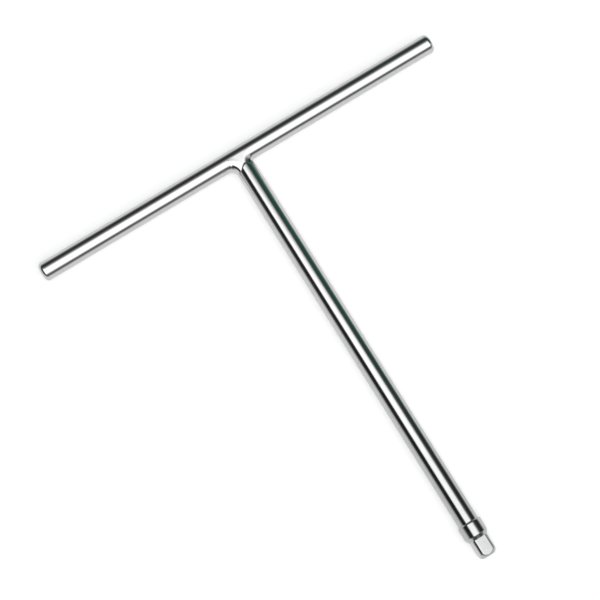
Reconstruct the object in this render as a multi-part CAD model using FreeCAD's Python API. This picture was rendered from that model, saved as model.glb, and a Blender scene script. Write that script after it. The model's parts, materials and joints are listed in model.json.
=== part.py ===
import FreeCAD, Part
import math
import os

# T-handle wrench: a plain round crossbar welded to a plain round shaft, which ends in a
# turned head with a collar and a 3/8 inch male square drive.  Millimetres.
#
# The wrench lies flat.  X runs along the crossbar, Y along the shaft with the crossbar at
# +Y and the drive at -Y, and Z is up.  The origin is the middle of the footprint, level
# with the underside of the collar, which is the widest round.
#
# "Reach" is the distance from the crossbar's axis towards the drive, along the shaft.

V = FreeCAD.Vector

# Crossbar
BAR_LENGTH = 250.0
BAR_RADIUS = 5.6
BAR_EDGE_ROUNDING = 2.4

# Shaft
SHAFT_RADIUS = 6.0
SHAFT_TOP_REACH = 3.0        # its end beside the crossbar, inside the weld
SHAFT_END_REACH = 233.9      # where the drive head butts against it
SOCKET_EDGE_CHAMFER = 0.4    # eases the spigot into the bored end

# Weld round the joint: ovals (reach, half width in X, half height in Z), from the toe on
# the shaft to the crest of the crossbar
WELD_OVALS = (
    (10.6, 5.50, 5.30),
    (8.8, 6.40, 5.50),
    (6.8, 7.90, 5.75),
    (4.6, 10.40, 6.15),
    (1.6, 11.90, 6.05),
    (-1.4, 12.80, 5.20),
)

# Drive head: spigot, shoulder cone, collar, lower cone and square
SPIGOT_RADIUS = 3.5
SPIGOT_LENGTH = 15.0
SPIGOT_GAP = 0.05            # brazing gap, radial and at the bottom of the bore
COLLAR_RADIUS = 6.9
SHOULDER_LENGTH = 0.8
COLLAR_LENGTH = 7.0
LOWER_CONE_LENGTH = 2.1
SQUARE_LENGTH = 10.7
SQUARE_WIDTH = 9.53          # across flats, a 3/8 inch drive
SQUARE_CORNER_RADIUS = 5.8   # the corners are turned round
TIP_ROUNDING_LENGTH = 2.7    # the tip is turned to a short crowned curve
TIP_FACE_RADIUS = 3.7
TIP_CROWN = 0.28             # how far the curve stands out from a straight chamfer
SQUARE_TURN = 8.0            # degrees that the flats are turned about the shaft, to +X

# Detent ball and its spring, in a blind pocket in the lower flat
BALL_RADIUS = 1.75
BALL_FROM_TIP = 5.6
BALL_STANDS_OUT = 0.8
POCKET_CLEARANCE = 0.03
POCKET_FLOOR = -2.6          # distance past the shaft's axis, away from the ball
SPRING_WIRE_RADIUS = 0.175
SPRING_COIL_RADIUS = 1.2
SPRING_TURNS = 6
SPRING_GAP = 0.03

# Worked out from the values above
COLLAR_TOP_REACH = SHAFT_END_REACH + SHOULDER_LENGTH
COLLAR_END_REACH = COLLAR_TOP_REACH + COLLAR_LENGTH
SQUARE_TOP_REACH = COLLAR_END_REACH + LOWER_CONE_LENGTH
TIP_REACH = SQUARE_TOP_REACH + SQUARE_LENGTH
AXIS_Z = COLLAR_RADIUS
BAR_Y = (TIP_REACH - BAR_RADIUS) / 2
BALL_HEIGHT = SQUARE_WIDTH / 2 + BALL_STANDS_OUT - BALL_RADIUS


def shaft_point(reach, radius=0.0):
    """A point beside the shaft's axis, towards +X."""
    return V(radius, BAR_Y - reach, AXIS_Z)


def rod_along_shaft(radius, start, end):
    """A plain round rod on the shaft's axis between two reaches."""
    return Part.makeCylinder(radius, end - start, shaft_point(start), V(0, -1, 0))


def rod_along_bar(radius, length):
    """A plain round rod on the crossbar's axis, centred on the shaft."""
    return Part.makeCylinder(radius, length, V(-length / 2, BAR_Y, AXIS_Z), V(1, 0, 0))


def turned(corners):
    """A solid turned about the shaft's axis from (reach, radius) corners."""
    points = [shaft_point(reach, radius) for reach, radius in corners]
    outline = Part.makePolygon(points + points[:1])
    return Part.Face(outline).revolve(shaft_point(0), V(0, 1, 0), 360)


def tip_rounding():
    """What is turned off the square's tip: all that lies outside its crowned curve."""
    start = shaft_point(TIP_REACH - TIP_ROUNDING_LENGTH, SQUARE_CORNER_RADIUS)
    end = shaft_point(TIP_REACH, TIP_FACE_RADIUS)
    outwards = V(start.y - end.y, end.x - start.x, 0).normalize() * TIP_CROWN
    outer_end = shaft_point(TIP_REACH, 2 * COLLAR_RADIUS)
    outer_start = shaft_point(TIP_REACH - TIP_ROUNDING_LENGTH, 2 * COLLAR_RADIUS)
    outline = Part.Wire([
        Part.Arc(start, (start + end) / 2 + outwards, end).toShape(),
        Part.makeLine(end, outer_end),
        Part.makeLine(outer_end, outer_start),
        Part.makeLine(outer_start, start),
    ])
    return Part.Face(outline).revolve(shaft_point(0), V(0, 1, 0), 360)


def on_ball_axis(shape):
    """Moves a shape built along Z so that its +Z points out through the lower flat."""
    shape.rotate(V(0, 0, 0), V(0, 1, 0), 180 + SQUARE_TURN)
    shape.translate(shaft_point(TIP_REACH - BALL_FROM_TIP))
    return shape


def crossbar():
    """The handle: a solid round bar with rounded ends."""
    bar = rod_along_bar(BAR_RADIUS, BAR_LENGTH)
    ends = [edge for edge in bar.Edges if isinstance(edge.Curve, Part.Circle)]
    return bar.makeFillet(BAR_EDGE_ROUNDING, ends)


def shaft():
    """A solid round bar, coped round the crossbar and bored for the drive head's spigot."""
    bar = rod_along_shaft(SHAFT_RADIUS, SHAFT_TOP_REACH, SHAFT_END_REACH)
    cope = rod_along_bar(BAR_RADIUS, 4 * SHAFT_RADIUS)
    bore_radius = SPIGOT_RADIUS + SPIGOT_GAP
    bore = turned((
        (SHAFT_END_REACH - SPIGOT_LENGTH - SPIGOT_GAP, 0),
        (SHAFT_END_REACH - SPIGOT_LENGTH - SPIGOT_GAP, bore_radius),
        (SHAFT_END_REACH - SOCKET_EDGE_CHAMFER, bore_radius),
        (SHAFT_END_REACH, bore_radius + SOCKET_EDGE_CHAMFER),
        (SHAFT_END_REACH, 0),
    ))
    return bar.cut(cope).cut(bore)


def weld_oval(reach, half_width, half_height):
    """One cross-section of the weld, square to the shaft."""
    stretch = FreeCAD.Matrix()
    stretch.scale(half_width, 1, half_height)
    oval = Part.makeCircle(1, V(0, 0, 0), V(0, 1, 0)).transformGeometry(stretch)
    oval.translate(shaft_point(reach))
    return Part.Wire(oval)


def weld_bead():
    """The fillet weld all round, flared along the crossbar and over its crest."""
    filled = Part.makeLoft([weld_oval(*oval) for oval in WELD_OVALS], True)
    bar = rod_along_bar(BAR_RADIUS, 6 * SHAFT_RADIUS)
    rod = rod_along_shaft(SHAFT_RADIUS, SHAFT_TOP_REACH, 3 * SHAFT_RADIUS)
    return filled.cut(bar).cut(rod)


def ball_pocket():
    """The blind hole for spring and ball; its round top end keeps the ball in."""
    radius = BALL_RADIUS + POCKET_CLEARANCE
    bore = Part.makeCylinder(radius, BALL_HEIGHT - POCKET_FLOOR, V(0, 0, POCKET_FLOOR))
    seat = Part.makeSphere(radius, V(0, 0, BALL_HEIGHT))
    return on_ball_axis(bore.fuse(seat))


def drive_head():
    """Spigot, collar and square in one turned and milled piece."""
    blank = turned((
        (SHAFT_END_REACH - SPIGOT_LENGTH, 0),
        (SHAFT_END_REACH - SPIGOT_LENGTH, SPIGOT_RADIUS - SOCKET_EDGE_CHAMFER),
        (SHAFT_END_REACH - SPIGOT_LENGTH + SOCKET_EDGE_CHAMFER, SPIGOT_RADIUS),
        (SHAFT_END_REACH, SPIGOT_RADIUS),
        (SHAFT_END_REACH, SHAFT_RADIUS),
        (COLLAR_TOP_REACH, COLLAR_RADIUS),
        (COLLAR_END_REACH, COLLAR_RADIUS),
        (SQUARE_TOP_REACH, SQUARE_CORNER_RADIUS),
        (TIP_REACH, SQUARE_CORNER_RADIUS),
        (TIP_REACH, 0),
    ))
    square = Part.makeBox(
        SQUARE_WIDTH, 2 * SQUARE_LENGTH, SQUARE_WIDTH,
        V(-SQUARE_WIDTH / 2, -SQUARE_LENGTH, -SQUARE_WIDTH / 2),
    )
    square.rotate(V(0, 0, 0), V(0, 1, 0), SQUARE_TURN)
    square.translate(shaft_point(TIP_REACH))
    around_square = rod_along_shaft(2 * COLLAR_RADIUS, SQUARE_TOP_REACH, TIP_REACH + 1)
    squared = blank.cut(around_square.cut(square))
    return squared.cut(tip_rounding()).cut(ball_pocket())


def detent_ball():
    """The steel ball that clicks into a socket's recess."""
    return on_ball_axis(Part.makeSphere(BALL_RADIUS, V(0, 0, BALL_HEIGHT)))


def detent_spring():
    """The coil spring behind the ball, from the pocket's floor to the ball's back."""
    lowest = POCKET_FLOOR + SPRING_WIRE_RADIUS + SPRING_GAP
    ball_to_wire = BALL_RADIUS + SPRING_WIRE_RADIUS + SPRING_GAP
    highest = BALL_HEIGHT - math.sqrt(ball_to_wire ** 2 - SPRING_COIL_RADIUS ** 2)
    length = highest - lowest
    coil = Part.makeHelix(length / SPRING_TURNS, length, SPRING_COIL_RADIUS)
    wire = Part.Wire(Part.makeCircle(SPRING_WIRE_RADIUS, V(SPRING_COIL_RADIUS, 0, 0), V(0, 1, 0)))
    spring = Part.Wire(coil).makePipeShell([wire], True, True)
    spring.translate(V(0, 0, lowest))
    return on_ball_axis(spring)


NODES = {
    "crossbar": crossbar,
    "shaft": shaft,
    "weld_bead": weld_bead,
    "drive_head": drive_head,
    "detent_ball": detent_ball,
    "detent_spring": detent_spring,
}

os.makedirs("parts", exist_ok=True)
for node, make in NODES.items():
    shape = make()
    print(node, "valid", shape.isValid(), "solids", len(shape.Solids), "mm3", round(shape.Volume, 2))
    shape.exportStep(f"parts/{node}.step")
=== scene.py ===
import json
import math

import bmesh
import bpy
from mathutils import Matrix, Vector, noise


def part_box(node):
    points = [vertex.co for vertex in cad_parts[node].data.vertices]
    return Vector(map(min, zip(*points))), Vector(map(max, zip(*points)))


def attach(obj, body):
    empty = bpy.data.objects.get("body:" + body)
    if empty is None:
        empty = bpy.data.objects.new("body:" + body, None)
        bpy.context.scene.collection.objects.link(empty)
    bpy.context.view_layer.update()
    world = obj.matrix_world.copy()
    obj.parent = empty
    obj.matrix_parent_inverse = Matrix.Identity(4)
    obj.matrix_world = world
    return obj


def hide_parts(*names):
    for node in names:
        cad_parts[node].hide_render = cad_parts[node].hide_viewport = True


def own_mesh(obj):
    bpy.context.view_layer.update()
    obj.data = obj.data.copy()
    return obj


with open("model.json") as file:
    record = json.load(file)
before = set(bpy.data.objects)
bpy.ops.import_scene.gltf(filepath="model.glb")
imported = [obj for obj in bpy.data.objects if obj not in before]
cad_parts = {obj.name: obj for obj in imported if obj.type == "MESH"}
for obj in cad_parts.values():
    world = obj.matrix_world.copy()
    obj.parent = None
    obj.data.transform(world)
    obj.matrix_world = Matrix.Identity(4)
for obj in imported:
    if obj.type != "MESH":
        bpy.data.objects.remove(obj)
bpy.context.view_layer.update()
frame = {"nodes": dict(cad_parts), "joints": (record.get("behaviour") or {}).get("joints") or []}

# The looks of a chrome-plated T-handle wrench: a round crossbar welded to a round shaft,
# which ends in a turned head with a collar and a male square.  Metres, in the CAD frame:
# X along the crossbar, Y along the shaft, Z up.  "Reach" is the distance from the
# crossbar's axis towards the drive.

MM = 0.001
TURN = 2 * math.pi

# Sizes and places read from the frame
bar_low, bar_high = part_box("crossbar")
shaft_low, shaft_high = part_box("shaft")
head_low, head_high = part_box("drive_head")
ball_low, ball_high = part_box("detent_ball")
BAR_RADIUS = (bar_high.z - bar_low.z) / 2
BAR_Y = (bar_low.y + bar_high.y) / 2
SHAFT_RADIUS = (shaft_high.z - shaft_low.z) / 2
COLLAR_RADIUS = (head_high.z - head_low.z) / 2
AXIS_Z = head_low.z + COLLAR_RADIUS
SHAFT_END = BAR_Y - shaft_low.y
SPIGOT_START = BAR_Y - head_high.y
TIP = BAR_Y - head_low.y
BALL_CENTRE = (ball_low + ball_high) / 2
BALL_RADIUS = (ball_high.y - ball_low.y) / 2
BALL_INWARDS = Vector(frame["joints"][0]["axis"]).normalized()
BALL_TRAVEL = frame["joints"][0]["range_m"][1]
BALL_HEIGHT = math.hypot(BALL_CENTRE.x, BALL_CENTRE.z - AXIS_Z)     # from the shaft's axis
SQUARE_TURN = math.atan2(BALL_INWARDS.x, BALL_INWARDS.z)

# Sizes shared with the CAD design
BAR_END_ROUNDING = 2.4 * MM
SHAFT_TOP = 3.0 * MM
SPIGOT_RADIUS = 3.5 * MM
SPIGOT_GAP = 0.05 * MM
RIM_CHAMFER = 0.4 * MM       # of the spigot's end and of the bore it goes into
LOWER_CONE_LENGTH = 2.1 * MM
SQUARE_LENGTH = 10.7 * MM
SQUARE_WIDTH = 9.53 * MM
SQUARE_CORNER_RADIUS = 5.8 * MM
TIP_ROUNDING_LENGTH = 2.7 * MM
TIP_FACE_RADIUS = 3.7 * MM
TIP_CROWN = 0.28 * MM
POCKET_CLEARANCE = 0.03 * MM
POCKET_DEPTH = 2.6 * MM      # past the shaft's axis
SPRING_WIRE_RADIUS = 0.175 * MM
SPRING_COIL_RADIUS = 1.2 * MM
SPRING_TURNS = 6
SPRING_GAP = 0.03 * MM

# Worked out from the values above
SEAT = TIP - SQUARE_LENGTH   # reach of the square's start, where a socket rests
COLLAR_END = SEAT - LOWER_CONE_LENGTH

# Details of the rods and the head that are finer than the CAD's
EDGE = 0.15 * MM             # smallest edge, which plating always leaves round
CAP_RADIUS = 0.3 * MM        # innermost ring of a flat end
FLAT_FOOT = 0.06 * MM        # fillet where the square's flats meet the seat
CORNER_BLEND = 0.25 * MM     # softens the square's long corners
# The shoulder's corners: (distance past the shaft's end, radius, rounding)
SHOULDER = (
    (0.10 * MM, SHAFT_RADIUS, 2 * EDGE),
    (0.40 * MM, SHAFT_RADIUS + 0.12 * MM, EDGE / 2),
    (0.55 * MM, COLLAR_RADIUS - 0.16 * MM, EDGE / 2),
    (0.95 * MM, COLLAR_RADIUS, 4 * EDGE),
)

# The weld: level with the crossbar's crest, rounded over like the crossbar at its open
# sides, and ended on the shaft by a step up to the shaft's own surface
WELD_CROTCH = {"-X": 4.2 * MM, "+X": 1.4 * MM}     # radius of the crotch, seen from above
TOE_FRONT = 5.85 * MM        # reach of the weld's edge on the shaft, at its nearest
TOE_SIDE = 10.3 * MM         # and at its farthest
TOE_SKEW = math.radians(82.4)    # where round the shaft it is nearest
TOE_CURVE = 1.2              # how soon the arc turns along the shaft
STEP_WIDTH = 1.8             # of the step up to the shaft, as a share of its height
STEP_ROWS = 32
STEP_WALL = (0.37, 0.63)     # where on the step its steep wall starts and ends
STEP_WALL_SHARE = 0.66       # of the step's height
SEAM_LAP = 0.02 * MM         # how far the weld reaches onto the step
SEAM_DROP = 0.005 * MM       # how far the step starts below the weld
WELD_WIDENS_FROM = 3 * MM    # reach where it starts to grow to the shaft's thickness
WELD_FALL = 0.048            # slope of its top, down towards the drive
FALL_ENDS = (5 * MM, 10 * MM)    # distances aside between which that slope dies out
CREST = (0.65, 0.95)         # sines of the angles round the shaft where its top begins, and is whole
BEAD_START = -7.0 * MM       # where the bead began, a low ridge across the crossbar
BEAD_START_WIDTH = 0.4 * MM
BEAD_START_HEIGHT = 0.06 * MM
BEAD_START_WANDER = 0.1 * MM
WAVE_HEIGHT = 0.02 * MM
WAVE_SCALE = 260
RIPPLE_HEIGHT = 0.004 * MM
RIPPLES = 40                 # all the way round the shaft
RIPPLE_BEND = 2.5
UNEVEN_SCALE = 900
SUNK_AT_SHAFT = 0.015 * MM   # how far the weld's edges lie under the rods' surfaces
SUNK_AT_SIDES = 0.01 * MM
SUNK_AT_CREST = 0.09 * MM


# ---------------------------------------------------------------- mesh building

def on_shaft(reach, radius, angle):
    """A point at an angle round the shaft's axis; angle 0 is +X and a quarter turn is up."""
    return Vector((radius * math.cos(angle), BAR_Y - reach, AXIS_Z + radius * math.sin(angle)))


def on_bar(x, radius, angle):
    """A point at an angle round the crossbar's axis; angle 0 faces the drive."""
    return Vector((x, BAR_Y - radius * math.cos(angle), AXIS_Z + radius * math.sin(angle)))


def even_angles(count):
    return [TURN * k / count for k in range(count)]


def eased(corners, steps=6):
    """A profile through (distance, radius, rounding) corners, each rounded by an arc."""
    points = []
    for k, (distance, radius, rounding) in enumerate(corners):
        corner = Vector((distance, radius))
        if not rounding:
            points.append(corner)
            continue
        back = (Vector(corners[k - 1][:2]) - corner).normalized()
        ahead = (Vector(corners[k + 1][:2]) - corner).normalized()
        half = back.angle(ahead) / 2
        centre = corner + (back + ahead).normalized() * rounding / math.sin(half)
        start = corner + back * rounding / math.tan(half) - centre
        end = corner + ahead * rounding / math.tan(half) - centre
        sweep = start.angle_signed(end)
        for step in range(steps + 1):
            points.append(centre + Matrix.Rotation(-sweep * step / steps, 2) @ start)
    return points


def mesh_piece(name, vertices, faces):
    """A smooth-shaded object of one mesh, with its normals pointing out."""
    mesh = bpy.data.meshes.new(name)
    mesh.from_pydata(vertices, [], faces)
    work = bmesh.new()
    work.from_mesh(mesh)
    bmesh.ops.recalc_face_normals(work, faces=work.faces)
    work.to_mesh(mesh)
    work.free()
    mesh.shade_smooth()
    piece = bpy.data.objects.new(name, mesh)
    bpy.context.scene.collection.objects.link(piece)
    return piece


def flat_faces_stay_flat(piece):
    """Lets large faces set the shading at their borders, so only the rounded edges turn."""
    modifier = piece.modifiers.new("weighted_normals", "WEIGHTED_NORMAL")
    modifier.weight = 100
    modifier.keep_sharp = True


def skin(name, rings, ends="capped"):
    """A mesh over rings of equal length: capped at both ends, or joined end to end."""
    count = len(rings[0])
    vertices = [point for ring in rings for point in ring]
    joints = len(rings) if ends == "joined" else len(rings) - 1
    faces = []
    for row in range(joints):
        here, there = row * count, (row + 1) % len(rings) * count
        for k in range(count):
            after = (k + 1) % count
            faces.append((here + k, here + after, there + after, there + k))
    if ends == "capped":
        for first, ring in ((0, rings[0]), ((len(rings) - 1) * count, rings[-1])):
            vertices.append(sum(ring, Vector()) / count)
            for k in range(count):
                faces.append((first + k, first + (k + 1) % count, len(vertices) - 1))
    return mesh_piece(name, vertices, faces)


def cut_away(piece, cutter):
    """Takes the cutter's shape out of the piece for good, and removes the cutter."""
    modifier = piece.modifiers.new("cut", "BOOLEAN")
    modifier.operation = "DIFFERENCE"
    modifier.solver = "EXACT"
    modifier.object = cutter
    bpy.context.view_layer.update()
    evaluated = piece.evaluated_get(bpy.context.evaluated_depsgraph_get())
    mesh = bpy.data.meshes.new_from_object(evaluated)
    piece.modifiers.clear()
    piece.data = mesh
    bpy.data.objects.remove(cutter)


def rise(value, low, high):
    """0 up to low, 1 from high on, and smooth in between."""
    share = min(max((value - low) / (high - low), 0.0), 1.0)
    return share * share * (3 - 2 * share)


def soft_min(a, b, blend):
    """The smaller of two lengths, with the corner between them rounded."""
    overlap = max(blend - abs(a - b), 0.0) / blend
    return min(a, b) - overlap * overlap * blend / 4


# ---------------------------------------------------------------- pieces

def make_crossbar():
    half = (bar_high.x - bar_low.x) / 2
    rounded = eased([
        (-half, CAP_RADIUS, 0),
        (-half, BAR_RADIUS, BAR_END_ROUNDING),
        (0, BAR_RADIUS, 0),
    ], steps=12)
    profile = rounded + [Vector((-p.x, p.y)) for p in reversed(rounded[:-1])]
    angles = even_angles(128)
    rings = [[on_bar(p.x, p.y, angle) for angle in angles] for p in profile]
    piece = skin("crossbar_rod", rings)
    flat_faces_stay_flat(piece)
    return piece


def cope(radius, angle):
    """Reach of the shaft's top end, hollowed to fit against the crossbar."""
    height = radius * math.sin(angle)
    return max(SHAFT_TOP, math.sqrt(max(BAR_RADIUS ** 2 - height ** 2, 0)))


def shaft_toe(angle):
    """Reach of the weld's edge on the shaft: a skewed arc, nearest the crossbar on top."""
    turned = (angle + math.pi) % TURN - math.pi
    aside = math.sin(abs(turned) - TOE_SKEW)
    share = (1 - math.exp(-TOE_CURVE * aside * aside)) / (1 - math.exp(-TOE_CURVE))
    return TOE_FRONT + (TOE_SIDE - TOE_FRONT) * share


def weld_distance(x, reach, height):
    """How far a point stands out from the weld, which a ball as thick as the crossbar fills."""
    if reach < 0:
        return math.hypot(reach, height) - BAR_RADIUS
    turn_radius = BAR_RADIUS + (WELD_CROTCH["+X"] if x > 0 else WELD_CROTCH["-X"])
    widening = (SHAFT_RADIUS / BAR_RADIUS - 1) * rise(reach, WELD_WIDENS_FROM, TOE_SIDE)
    aside = abs(x) / (1 + widening)
    falling = 1 - rise(aside, *FALL_ENDS)
    on_top = rise(abs(height) / math.hypot(x, height), *CREST)
    thickness = BAR_RADIUS - WELD_FALL * reach * falling * on_top
    height /= 1 + widening * (1 - on_top)
    if max(aside, reach) >= turn_radius:
        from_middle = min(aside, reach)
    else:
        from_middle = max(turn_radius - math.hypot(turn_radius - aside, turn_radius - reach), 0)
    return math.hypot(from_middle, height) - thickness


def weld_surface(angle, slant):
    """Where a ray from the crossing of the two axes leaves the weld."""
    low, high = BAR_RADIUS / 2, 3 * SHAFT_RADIUS
    while high - low > 0.0001 * MM:
        middle = (low + high) / 2
        radius = middle * math.cos(slant)
        place = (radius * math.cos(angle), middle * math.sin(slant), radius * math.sin(angle))
        if weld_distance(*place) < 0:
            low = middle
        else:
            high = middle
    return low


def toe_slant(angle):
    """Slant of the ray to the weld's edge on the shaft."""
    radius = SHAFT_RADIUS
    for _ in range(4):
        slant = math.atan2(shaft_toe(angle) + SEAM_LAP, radius)
        radius = weld_surface(angle, slant) * math.cos(slant)
    return slant


def shaft_step(angle):
    """How far the shaft stands out above the weld's edge."""
    slant = toe_slant(angle)
    return SHAFT_RADIUS - weld_surface(angle, slant) * math.cos(slant) + SEAM_DROP


def step_rise(t):
    """A step seen from the side: a slow rise, a short steep wall and a slow rise again."""
    return (1 - STEP_WALL_SHARE) * min(t, 1) + STEP_WALL_SHARE * rise(t, *STEP_WALL)


def shaft_bore():
    """Profile of the shaft's lower half and of the bore in its end."""
    bore_radius = SPIGOT_RADIUS + SPIGOT_GAP
    bore_floor = SPIGOT_START - SPIGOT_GAP
    return eased([
        (SHAFT_END / 2, SHAFT_RADIUS, 0),
        (SHAFT_END, SHAFT_RADIUS, EDGE / 2),
        (SHAFT_END, bore_radius + RIM_CHAMFER, EDGE),
        (SHAFT_END - RIM_CHAMFER, bore_radius, EDGE),
        (bore_floor, bore_radius, EDGE),
        (bore_floor, CAP_RADIUS, 0),
    ])


def make_shaft():
    """The shaft, from its coped end under the weld, over the step, to its bored end."""
    angles = even_angles(320)
    steps = [shaft_step(a) for a in angles]
    rings = [
        [on_shaft(cope(radius, a), radius, a) for a in angles]
        for radius in (CAP_RADIUS, 2 * MM, 4 * MM, 5 * MM)
    ]
    rings.append([
        on_shaft(shaft_toe(a) - 0.3 * MM, SHAFT_RADIUS - step - 0.25 * MM, a)
        for a, step in zip(angles, steps)
    ])
    for row in range(STEP_ROWS + 3):
        t = row / STEP_ROWS
        ring = []
        for a, step in zip(angles, steps):
            radius = SHAFT_RADIUS - step * (1 - step_rise(t))
            ring.append(on_shaft(shaft_toe(a) + STEP_WIDTH * step * t, radius, a))
        rings.append(ring)
    rings += [[on_shaft(p.x, p.y, a) for a in angles] for p in shaft_bore()]
    piece = skin("shaft_rod", rings)
    flat_faces_stay_flat(piece)
    return piece


def square_angles():
    """Angles round the head, packed closer where the square's flats meet its corners."""
    half_flat = math.degrees(math.acos(SQUARE_WIDTH / 2 / SQUARE_CORNER_RADIUS))
    quarter = [half_flat * k / 11 for k in range(-10, 11)]
    quarter += [half_flat + k for k in (-1.6, -0.8, 0, 0.8, 1.6, 3)]
    quarter += [45 + k for k in (-4, 0, 4)]
    quarter += [90 - half_flat + k for k in (-3, -1.6, -0.8, 0, 0.8, 1.6)]
    return [math.radians(a + 90 * side) for side in range(4) for a in quarter]


def head_radius(reach, turned_radius, angle):
    """Radius of the head at an angle from a flat's middle: turned, then milled square."""
    if reach < SEAT:
        return turned_radius
    off_flat = (angle + math.pi / 4) % (math.pi / 2) - math.pi / 4
    up_foot = max(1 - (reach - SEAT) / FLAT_FOOT, 0)
    fillet = FLAT_FOOT * (1 - math.sqrt(1 - up_foot * up_foot))
    flat = (SQUARE_WIDTH / 2 + fillet) / math.cos(off_flat)
    return soft_min(turned_radius, flat, CORNER_BLEND)


def turned_profile():
    """The head's turned part: spigot, shoulder, collar and lower cone."""
    profile = eased([
        (SPIGOT_START, CAP_RADIUS, 0),
        (SPIGOT_START, SPIGOT_RADIUS - RIM_CHAMFER, EDGE),
        (SPIGOT_START + RIM_CHAMFER, SPIGOT_RADIUS, EDGE),
        (SHAFT_END, SPIGOT_RADIUS, EDGE),
        (SHAFT_END, SHAFT_RADIUS, 0),
        *((SHAFT_END + past_end, radius, rounding) for past_end, radius, rounding in SHOULDER),
        (COLLAR_END, COLLAR_RADIUS, 2 * EDGE),
        (SEAT, SQUARE_CORNER_RADIUS, 0),
    ])
    profile[-1].x -= EDGE / 2    # the cone stops just short of the first ring of the flats
    return profile


def square_profile():
    """The head's square part: the foot of the flats, the flats, the crowned tip and its face."""
    foot = [Vector((SEAT + FLAT_FOOT * k / 6, SQUARE_CORNER_RADIUS)) for k in range(7)]
    start = Vector((TIP - TIP_ROUNDING_LENGTH, SQUARE_CORNER_RADIUS))
    end = Vector((TIP, TIP_FACE_RADIUS))
    flats = [foot[-1].lerp(start, k / 8) for k in range(1, 8)]
    outwards = Vector((start.y - end.y, end.x - start.x)).normalized()
    crown = (start + end) / 2 + outwards * 2 * TIP_CROWN
    tip = []
    for k in range(25):
        t = k / 24
        tip.append(start.lerp(crown, t).lerp(crown.lerp(end, t), t))
    face = [Vector((TIP, radius)) for radius in (3.4 * MM, 2 * MM, CAP_RADIUS)]
    return foot + flats + tip + face


def shade_flats(piece):
    """Shades the square's four flats as planes and leaves the rest smooth."""
    angles = [side * math.pi / 2 - SQUARE_TURN for side in range(4)]
    outwards = [Vector((math.cos(a), 0, math.sin(a))) for a in angles]
    for face in piece.data.polygons:
        face.use_smooth = not any(face.normal.dot(out) > 0.99999 for out in outwards)


def make_drive_head():
    angles = square_angles()
    turn = math.pi / 2 - SQUARE_TURN
    rings = [
        [on_shaft(p.x, head_radius(p.x, p.y, a), a + turn) for a in angles]
        for p in turned_profile() + square_profile()
    ]
    piece = skin("drive_head_body", rings)
    cut_away(piece, make_pocket_cutter())
    shade_flats(piece)
    flat_faces_stay_flat(piece)
    return piece


def on_ball_axis(height, radius, angle):
    """A point round the ball's axis; height is measured outwards from the ball's centre."""
    side = Vector((0, 1, 0))
    other = BALL_INWARDS.cross(side)
    outwards = -BALL_INWARDS * height
    return BALL_CENTRE + outwards + (side * math.cos(angle) + other * math.sin(angle)) * radius


def make_pocket_cutter():
    """The blind hole for spring and ball, closing in at its mouth to keep the ball."""
    radius = BALL_RADIUS + POCKET_CLEARANCE
    mouth_height = SQUARE_WIDTH / 2 - BALL_HEIGHT
    floor = -(BALL_HEIGHT + POCKET_DEPTH)
    centre = 0.2 * MM
    profile = [(floor, centre), (floor, radius * 0.9), (floor + radius * 0.1, radius), (0, radius)]
    steps = 12
    last = math.asin(mouth_height / radius)
    for k in range(1, steps + 1):
        a = last * k / steps
        profile.append((radius * math.sin(a), radius * math.cos(a)))
    flared = radius * math.cos(last) + 0.14 * MM
    clear_of_flat = mouth_height + 1 * MM
    profile += [(mouth_height + 0.12 * MM, flared), (clear_of_flat, flared), (clear_of_flat, centre)]
    angles = even_angles(48)
    rings = [[on_ball_axis(height, r, a) for a in angles] for height, r in profile]
    return skin("pocket_cutter", rings)


def make_spring():
    """A coil of round wire, from the pocket's floor to the ball's back.

    Also gives the point its foot stands on, and the share of its length left with the ball in.
    """
    floor = -(BALL_HEIGHT + POCKET_DEPTH) + SPRING_WIRE_RADIUS + SPRING_GAP
    ball_to_wire = BALL_RADIUS + SPRING_WIRE_RADIUS + SPRING_GAP
    top = -math.sqrt(ball_to_wire ** 2 - SPRING_COIL_RADIUS ** 2)
    steps = 40 * SPRING_TURNS
    rings = []
    for k in range(steps + 1):
        centre_height = floor + (top - floor) * k / steps
        angle = TURN * SPRING_TURNS * k / steps
        ring = []
        for a in even_angles(10):
            height = centre_height + SPRING_WIRE_RADIUS * math.sin(a)
            ring.append(on_ball_axis(height, SPRING_COIL_RADIUS + SPRING_WIRE_RADIUS * math.cos(a), angle))
        rings.append(ring)
    piece = skin("detent_spring_coil", rings)
    foot = BALL_CENTRE - BALL_INWARDS * floor
    keep = 1 - BALL_TRAVEL / (top - floor)
    return piece, foot, keep


def bar_toe(angle):
    """Slant of the ray to the weld's edge on the crossbar: along its crest, then round it."""
    side = "+X" if math.cos(angle) > 0 else "-X"
    aside = BAR_RADIUS + WELD_CROTCH[side]
    height = aside * abs(math.tan(angle))
    if height > BAR_RADIUS:
        return 0.0
    return math.atan2(math.sqrt(BAR_RADIUS ** 2 - height ** 2), math.hypot(aside, height))


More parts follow.
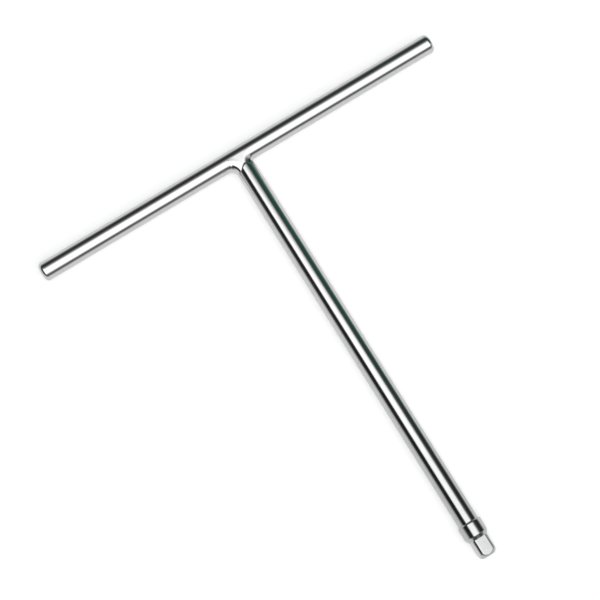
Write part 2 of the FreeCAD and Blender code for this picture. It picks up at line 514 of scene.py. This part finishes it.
def weld_relief(angle, t, point):
    """How far the weld stands out from its smooth shape: sunk edges, a ridge and ripples.

    t runs from 0 at the shaft to 1 at the crossbar.
    """
    on_weld = math.sin(math.pi * t)
    at_shaft = 1 - rise(t, 0, 0.02)
    at_bar = rise(t, 0.97, 1)
    sunk_at_bar = SUNK_AT_SIDES + (SUNK_AT_CREST - SUNK_AT_SIDES) * math.sin(angle) ** 2
    uneven = noise.noise(point * UNEVEN_SCALE)
    past_start = (point.x - BEAD_START + BEAD_START_WANDER * uneven) / BEAD_START_WIDTH
    ridge = BEAD_START_HEIGHT * math.exp(-past_start * past_start)
    phase = RIPPLES * angle + RIPPLE_BEND * math.cos(math.pi * t) + uneven
    ripple = RIPPLE_HEIGHT * (0.6 + uneven) * math.sin(phase) * on_weld ** 2
    wave = WAVE_HEIGHT * noise.noise(point * WAVE_SCALE + Vector((3, 1, 7))) * on_weld
    return ridge + ripple + wave - SUNK_AT_SHAFT * at_shaft - sunk_at_bar * at_bar


def make_weld():
    """A closed ring: the weld's face outside, and its root inside the two rods."""
    steps = 64
    rings = []
    for angle in even_angles(480):
        first = toe_slant(angle)
        last = bar_toe(angle)
        ring = []
        for k in range(steps + 1):
            t = (1 - math.cos(math.pi * k / steps)) / 2
            slant = first + (last - first) * t
            out = weld_surface(angle, slant)
            point = on_shaft(out * math.sin(slant), out * math.cos(slant), angle)
            out += weld_relief(angle, t, point)
            ring.append(on_shaft(out * math.sin(slant), out * math.cos(slant), angle))
        root = out * 0.94
        ring.append(on_shaft(root * math.sin(last), root * math.cos(last), angle))
        ring.append(on_shaft(cope(SHAFT_RADIUS, angle), SHAFT_RADIUS - 0.8 * MM, angle))
        rings.append(ring)
    return skin("weld_fillet", rings, ends="joined")


# ---------------------------------------------------------------- materials

class Nodes:
    """A short way to add and link shader nodes."""

    def __init__(self, tree):
        self.tree = tree

    def add(self, kind, **inputs):
        node = self.tree.nodes.new("ShaderNode" + kind)
        for name, value in inputs.items():
            self.set(node, name.replace("_", " "), value)
        return node

    def blend(self, factor, a, b):
        node = self.add("Mix")
        node.data_type = "RGBA"
        colours = [socket for socket in node.inputs if socket.type == "RGBA"]
        self.tree.links.new(factor, node.inputs[0])
        self.tree.links.new(a, colours[0])
        self.tree.links.new(b, colours[1])
        return next(socket for socket in node.outputs if socket.type == "RGBA")

    def set(self, node, name, value):
        if isinstance(value, bpy.types.NodeSocket):
            self.tree.links.new(value, node.inputs[name])
        else:
            node.inputs[name].default_value = value

    def noise(self, vector, scale, detail=2.0, rough=0.5):
        node = self.add("TexNoise", Vector=vector, Scale=scale, Detail=detail, Roughness=rough)
        return node.outputs["Fac"]

    def spread(self, value, low, high, from_low=0.3, from_high=0.7):
        node = self.add("MapRange", Value=value)
        self.set(node, "From Min", from_low)
        self.set(node, "From Max", from_high)
        self.set(node, "To Min", low)
        self.set(node, "To Max", high)
        return node.outputs["Result"]

    def maths(self, operation, a, b=0.0):
        node = self.add("Math")
        node.operation = operation
        self.set(node, 0, a)
        self.set(node, 1, b)
        return node.outputs[0]


# The plate's colours. Near the drive the darker colour is painted shade, for the shaded floor reflected
# there; elsewhere the darker spots are random tone.
BRIGHT_PLATE = (0.565, 0.565, 0.565)
CLOUDED_AND_SHADED_PLATE = (0.425, 0.428, 0.432)
UNSHADED_FROM = BAR_Y - 110 * MM
FULLY_SHADED_FROM = BAR_Y - 225 * MM
DRIVE_PAINTED_SHADE = 0.62            # painted shade: how far the colour is darkened there, as a share, for the shaded floor reflected near the drive
CLOUD_TINT = 0.3             # how much its darkness varies from place to place
GLOSS_SPREAD = (0.75, 1.3)   # the roughness's lowest and highest shares
# Noise scales: the larger, the finer the marks
TINT_CLOUDS = 220
GLOSS_CLOUDS = 90
LONG_WAVES = 45


def plated_steel(name, grain_height, grain_size, roughness, wave_height):
    """Bright chrome plate over ground steel: faint grain, soft waves and clouded gloss.

    Its colour is darkened towards the drive as painted shade, for the shaded floor that the chrome
    reflects there.
    """
    material = bpy.data.materials.new(name)
    material.use_nodes = True
    nodes = Nodes(material.node_tree)
    shader = material.node_tree.nodes["Principled BSDF"]
    place = nodes.add("TexCoord").outputs["Object"]
    along_shaft = nodes.add("SeparateXYZ", Vector=place).outputs["Y"]
    # Painted shade: the colour darkens towards the drive, for the shaded floor the chrome reflects there.
    painted_shade_near_drive = nodes.spread(along_shaft, DRIVE_PAINTED_SHADE, 0.0, FULLY_SHADED_FROM, UNSHADED_FROM)
    clouded = nodes.spread(nodes.noise(place, TINT_CLOUDS, 5), 0, CLOUD_TINT)
    tone_and_painted_shade = nodes.add("ValToRGB", Fac=nodes.maths("ADD", painted_shade_near_drive, clouded))
    tone_and_painted_shade.color_ramp.elements[0].color = (*BRIGHT_PLATE, 1)
    tone_and_painted_shade.color_ramp.elements[1].color = (*CLOUDED_AND_SHADED_PLATE, 1)
    low, high = GLOSS_SPREAD
    gloss = nodes.spread(nodes.noise(place, GLOSS_CLOUDS, 4), roughness * low, roughness * high)
    waves = nodes.noise(place, LONG_WAVES, 1)
    wavy = nodes.add("Bump", Strength=1.0, Distance=wave_height, Height=waves)
    grain = nodes.noise(place, 1 / grain_size, 3, 0.6)
    grained = nodes.add(
        "Bump", Strength=1.0, Distance=grain_height, Height=grain, Normal=wavy.outputs["Normal"])
    nodes.set(shader, "Metallic", 1.0)
    nodes.set(shader, "Base Color", tone_and_painted_shade.outputs["Color"])
    nodes.set(shader, "Roughness", gloss)
    nodes.set(shader, "Normal", grained.outputs["Normal"])
    return material


def plain_material(name, **values):
    """A material whose shader has the given values, the same all over."""
    material = bpy.data.materials.new(name)
    material.use_nodes = True
    shader = material.node_tree.nodes["Principled BSDF"]
    for socket, value in values.items():
        shader.inputs[socket.replace("_", " ")].default_value = value
    return material


def assign(piece, material):
    piece.data.materials.clear()
    piece.data.materials.append(material)


# ---------------------------------------------------------------- studio

FLOOR_HALF = 12.0
FLOOR_HEIGHT = -0.02 * MM    # just under the wrench, so that the two don't flicker
FLOOR_GLOW = 0.50
BACKDROP_RADIUS = 9.0
BACKDROP_GLOW = 0.94


def make_floor():
    """A plain pale table top, far larger than any view takes in."""
    corners = [
        (x * FLOOR_HALF, y * FLOOR_HALF, FLOOR_HEIGHT)
        for x, y in ((-1, -1), (1, -1), (1, 1), (-1, 1))
    ]
    floor = mesh_piece("floor", corners, [(0, 1, 2, 3)])
    assign(floor, plain_material(
        "pale_table",
        Base_Color=(0.8, 0.8, 0.8, 1),
        Roughness=0.9,
        Specular_IOR_Level=0.1,
        Emission_Color=(1, 1, 1, 1),
        Emission_Strength=FLOOR_GLOW,
    ))


# The soft light overhead: its brightness, and how it fades with the tilt from straight up
# towards each side, as (degrees, share)
LIGHT_BRIGHTNESS = 2.0
LIGHT_FADES = {
    "+X": ((0, 1), (10, 0.98), (16, 0.90), (22, 0.88), (26, 0.50), (30, 0.26), (34, 0.13), (54, 0)),
    "-X": ((0, 1), (23, 0.98), (26, 0.78), (29, 0.30), (32, 0.07), (37, 0)),
    "+Y": (
        (0, 1), (5, 1), (9, 0.92), (14, 0.66), (18, 0.42), (22, 0.24), (28, 0.11), (34, 0.05), (44, 0),
    ),
    "-Y": ((0, 1), (36, 1), (42, 0.90), (47, 0.65), (52, 0.32), (58, 0.08), (64, 0)),
}
REAR_SKEW = 0.35     # the light's rear edge isn't square to the crossbar
# The unlit room round it, and the light low down, as (degrees from straight up, brightness)
ROOM = {
    "+X": ((0, 0.01), (60, 0.025), (72, 0.06), (80, 0.18), (90, 0.60)),
    "-X": ((0, 0.01), (60, 0.025), (70, 0.16), (78, 0.80), (90, 0.90)),
    "+Y": ((0, 0.02), (60, 0.045), (70, 0.16), (80, 0.55), (90, 0.95)),
    "-Y": ((0, 0.05), (50, 0.10), (68, 0.11), (80, 0.38), (90, 0.90)),
}
WIDEST = 100.0       # degrees at the end of the ramps
GREEN_WALL = (0.0, 0.075, 0.046)
# The green wall's soft edge, as (dark, lit): in two parts of the direction, and on the ramps
GREEN_EDGES = {"x": (0.05, 0.6), "y": (0, 0.13), "from_top": (0.28, 0.5)}
SIDE_LIGHT = (0.62, 0.60, 0.66)
# The side light's soft edges, as (dark, lit, lit, dark) in each part of the direction
SIDE_PANEL = {
    "x": (0.20, 0.40, 1.00, 1.10),
    "y": (-0.75, -0.58, -0.32, -0.18),
    "z": (0.15, 0.30, 0.78, 0.90),
}


class StudioNodes(Nodes):
    """Adds ramps over the studio's angles to the short way of writing nodes."""

    def share(self, angle):
        """An angle in radians as a share of the widest on the ramps."""
        return self.maths("DIVIDE", angle, math.radians(WIDEST))

    def ramp(self, value, stops):
        node = self.add("ValToRGB", Fac=value)
        elements = node.color_ramp.elements
        elements.remove(elements[-1])
        for k, (degrees, level) in enumerate(stops):
            element = elements[0] if k == 0 else elements.new(degrees / WIDEST)
            element.position = degrees / WIDEST
            element.color = (level, level, level, 1)
        return node.outputs["Color"]

    def panel_edges(self, value, dark, lit, lit_end, dark_end):
        """1 between the lit edges, fading to 0 at the dark ones."""
        rising = self.spread(value, 0, 1, dark, lit)
        return self.maths("MULTIPLY", rising, self.spread(value, 1, 0, lit_end, dark_end))

    def two_sided(self, value, angle, low_stops, high_stops):
        """One ramp where value is negative and the other where it is positive."""
        return self.blend(
            self.maths("GREATER_THAN", value),
            self.ramp(angle, low_stops),
            self.ramp(angle, high_stops),
        )


def overhead_light(nodes, x, y, z):
    """The soft light overhead, which fades with the tilt towards each side."""
    skewed = nodes.maths("ADD", y, nodes.maths("MULTIPLY", x, REAR_SKEW))
    tilt_x = nodes.share(nodes.maths("ARCTAN2", nodes.maths("ABSOLUTE", x), z))
    tilt_y = nodes.share(nodes.maths("ARCTAN2", nodes.maths("ABSOLUTE", skewed), z))
    light_x = nodes.two_sided(x, tilt_x, LIGHT_FADES["-X"], LIGHT_FADES["+X"])
    light_y = nodes.two_sided(skewed, tilt_y, LIGHT_FADES["-Y"], LIGHT_FADES["+Y"])
    brightness = nodes.maths("MULTIPLY", light_y, LIGHT_BRIGHTNESS)
    return nodes.add("Background", Color=light_x, Strength=brightness)


def dim_room(nodes, x, y, from_top):
    """The unlit room and the light low down, blended from one side to the next."""
    across = nodes.maths("MULTIPLY", x, x)
    flat = nodes.maths("ADD", across, nodes.maths("MULTIPLY", y, y))
    along_x = nodes.maths("DIVIDE", across, nodes.maths("MAXIMUM", flat, 1e-6))
    room_x = nodes.two_sided(x, from_top, ROOM["-X"], ROOM["+X"])
    room_y = nodes.two_sided(y, from_top, ROOM["-Y"], ROOM["+Y"])
    return nodes.add("Background", Color=nodes.blend(along_x, room_y, room_x), Strength=1.0)


def green_wall(nodes, x, y, from_top):
    """The dark green wall towards +X and +Y."""
    parts = {"x": x, "y": y, "from_top": from_top}
    green = 1.0
    for name, value in parts.items():
        green = nodes.maths("MULTIPLY", nodes.spread(value, 0, 1, *GREEN_EDGES[name]), green)
    return nodes.add("Background", Color=(*GREEN_WALL, 1), Strength=green)


def side_light(nodes, x, y, z):
    """A pale panel on the +X side, towards the drive."""
    parts = {"x": x, "y": y, "z": z}
    panel = 1.0
    for name, value in parts.items():
        panel = nodes.maths("MULTIPLY", nodes.panel_edges(value, *SIDE_PANEL[name]), panel)
    return nodes.add("Background", Color=(*SIDE_LIGHT, 1), Strength=panel)


def make_studio_light():
    """The world: all four lights added together."""
    world = bpy.data.worlds.new("studio")
    world.use_nodes = True
    bpy.context.scene.world = world
    nodes = StudioNodes(world.node_tree)
    direction = nodes.add("TexCoord").outputs["Generated"]
    x, y, z = nodes.add("SeparateXYZ", Vector=direction).outputs
    from_top = nodes.share(nodes.maths("ARCCOSINE", z))
    total = overhead_light(nodes, x, y, z)
    for part in (
        dim_room(nodes, x, y, from_top),
        green_wall(nodes, x, y, from_top),
        side_light(nodes, x, y, z),
    ):
        both = nodes.add("AddShader")
        nodes.set(both, 0, total.outputs[0])
        nodes.set(both, 1, part.outputs[0])
        total = both
    nodes.set(world.node_tree.nodes["World Output"], "Surface", total.outputs[0])


def make_backdrop():
    """A plain pale dome that only the camera sees, behind the table in low views."""
    work = bmesh.new()
    bmesh.ops.create_uvsphere(work, u_segments=64, v_segments=32, radius=BACKDROP_RADIUS)
    mesh = bpy.data.meshes.new("backdrop")
    work.to_mesh(mesh)
    work.free()
    backdrop = bpy.data.objects.new("backdrop", mesh)
    bpy.context.scene.collection.objects.link(backdrop)
    assign(backdrop, plain_material(
        "pale_backdrop",
        Base_Color=(0, 0, 0, 1),
        Specular_IOR_Level=0,
        Emission_Color=(1, 1, 1, 1),
        Emission_Strength=BACKDROP_GLOW,
    ))
    backdrop.visible_diffuse = False
    backdrop.visible_glossy = False
    backdrop.visible_transmission = False
    backdrop.visible_shadow = False


# Camera
CAMERA_AZIMUTH = math.radians(-31.63)
CAMERA_ELEVATION = math.radians(80.44)
CAMERA_DISTANCE = 0.8366
CAMERA_AIM = Vector((-0.01319, 0.03850, AXIS_Z))
CAMERA_LENS = 92.67


def make_camera():
    data = bpy.data.cameras.new("camera")
    data.lens = CAMERA_LENS
    camera = bpy.data.objects.new("camera", data)
    bpy.context.scene.collection.objects.link(camera)
    level = math.cos(CAMERA_ELEVATION)
    back = Vector((
        math.sin(CAMERA_AZIMUTH) * level,
        -math.cos(CAMERA_AZIMUTH) * level,
        math.sin(CAMERA_ELEVATION),
    ))
    camera.location = CAMERA_AIM + back * CAMERA_DISTANCE
    camera.rotation_euler = (-back).to_track_quat("-Z", "Y").to_euler()
    bpy.context.scene.camera = camera


# ---------------------------------------------------------------- assembly

make_camera()
make_floor()
make_studio_light()
make_backdrop()
bpy.context.scene.view_settings.view_transform = "Standard"

rod_chrome = plated_steel("rod_chrome", 0.0030 * MM, 0.50 * MM, 0.12, 0.02 * MM)
head_chrome = plated_steel("head_chrome", 0.0055 * MM, 0.45 * MM, 0.10, 0.01 * MM)
weld_chrome = plated_steel("weld_chrome", 0.0020 * MM, 0.35 * MM, 0.10, 0.03 * MM)
ball_steel = plated_steel("ball_steel", 0.0004 * MM, 0.30 * MM, 0.06, 0.001 * MM)
spring_wire = plated_steel("spring_wire", 0.0030 * MM, 0.10 * MM, 0.30, 0.001 * MM)

crossbar = make_crossbar()
assign(crossbar, rod_chrome)
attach(crossbar, "wrench")
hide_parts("crossbar")

shaft = make_shaft()
assign(shaft, rod_chrome)
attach(shaft, "wrench")
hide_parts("shaft")

weld = make_weld()
assign(weld, weld_chrome)
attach(weld, "wrench")
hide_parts("weld_bead")

head = make_drive_head()
assign(head, head_chrome)
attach(head, "wrench")
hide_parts("drive_head")

spring, spring_foot, spring_keep = make_spring()
assign(spring, spring_wire)
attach(spring, "wrench")
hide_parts("detent_spring")
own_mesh(spring)

assign(frame["nodes"]["detent_ball"], ball_steel)
